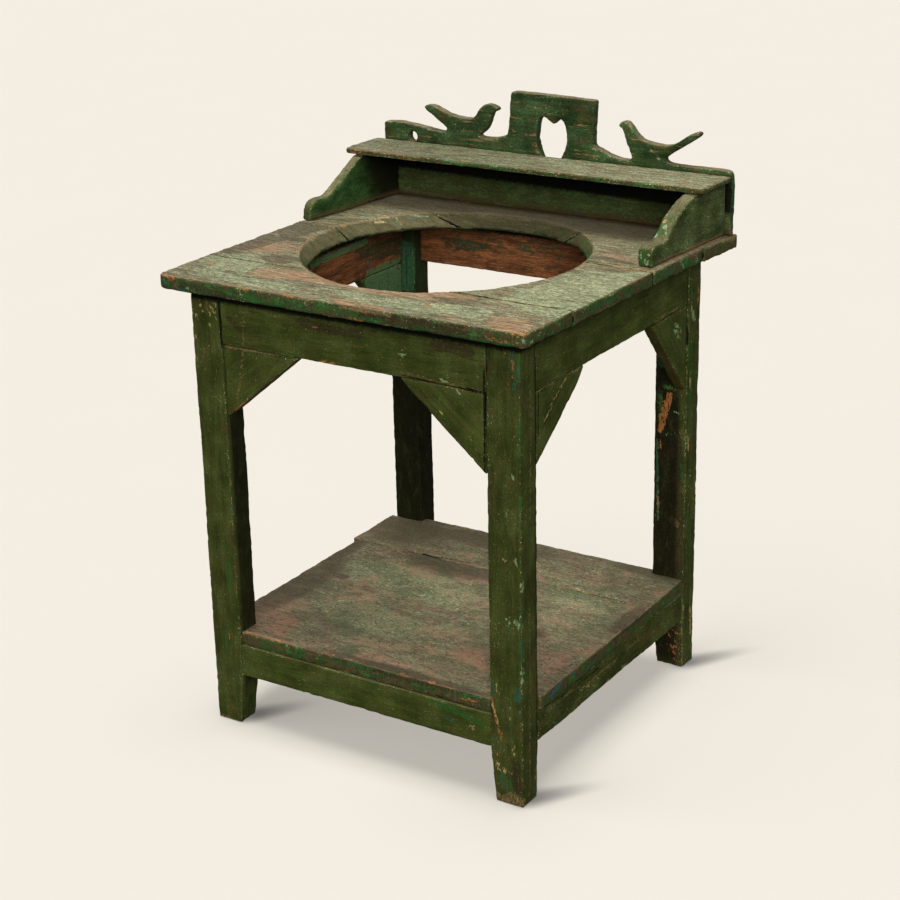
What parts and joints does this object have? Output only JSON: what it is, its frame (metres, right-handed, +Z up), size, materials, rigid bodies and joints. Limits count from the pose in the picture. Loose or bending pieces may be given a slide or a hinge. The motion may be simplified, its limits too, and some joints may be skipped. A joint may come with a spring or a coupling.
{
  "type": "washstand",
  "caption": "Free-standing painted plank washstand: square legs, lower shelf, top with a round basin hole, and a cut-out backboard carrying a narrow shelf.",
  "frame": {"origin": "middle of the footprint's bounding box, on the floor", "axes": "+X to the right along the front, +Y to the back (backboard side), +Z up"},
  "size_m": [0.6586, 0.608, 0.9179],
  "materials": {
    "frame_paint": "worn dark green oil paint over older green and blue coats",
    "top_boards": "dusty, weathered and scrubbed paint over bare pine",
    "shelf_boards": "dusty, worn paint over bare pine",
    "back_paint": "worn green paint with bare wood at the edges",
    "small_shelf": "weathered grey-green paint",
    "nail_iron": "rusty, painted over"
  },
  "bodies": {
    "root": {"apron_front": "frame_paint", "apron_left": "frame_paint", "apron_rear": "frame_paint", "apron_right": "frame_paint", "backboard": "back_paint", "bracket_front_left": "frame_paint", "bracket_front_right": "frame_paint", "bracket_left_front": "frame_paint", "bracket_left_rear": "frame_paint", "bracket_right_front": "frame_paint", "bracket_right_rear": "frame_paint", "leg_front_left": "frame_paint", "leg_front_right": "frame_paint", "leg_rear_left": "frame_paint", "leg_rear_right": "frame_paint", "nail_backboard_left": "nail_iron", "nail_backboard_right": "nail_iron", "nail_bracket_front_left": "nail_iron", "nail_bracket_front_right": "nail_iron", "nail_bracket_left_front": "nail_iron", "nail_bracket_left_rear": "nail_iron", "nail_bracket_right_front": "nail_iron", "nail_bracket_right_rear": "nail_iron", "nail_leg_front_right": "nail_iron", "nail_scroll_left": "nail_iron", "nail_scroll_right": "nail_iron", "nail_shelf_front_left": "nail_iron", "nail_shelf_front_right": "nail_iron", "nail_shelf_rear_left": "nail_iron", "nail_shelf_rear_right": "nail_iron", "nail_small_shelf_left": "nail_iron", "nail_small_shelf_right": "nail_iron", "nail_top_front_left": "nail_iron", "nail_top_front_right": "nail_iron", "nail_top_rear_left": "nail_iron", "nail_top_rear_right": "nail_iron", "nail_top_second_left": "nail_iron", "nail_top_second_right": "nail_iron", "nail_top_third_left": "nail_iron", "nail_top_third_right": "nail_iron", "rail_front": "frame_paint", "rail_left": "frame_paint", "rail_rear": "frame_paint", "rail_right": "frame_paint", "scroll_bracket_left": "back_paint", "scroll_bracket_right": "back_paint", "shelf_board_front": "shelf_boards", "shelf_board_rear": "shelf_boards", "small_shelf": "small_shelf", "top_board_front": "top_boards", "top_board_rear": "top_boards", "top_board_second_left": "top_boards", "top_board_second_right": "top_boards", "top_board_third_left": "top_boards", "top_board_third_right": "top_boards"}
  },
  "joints": []
}
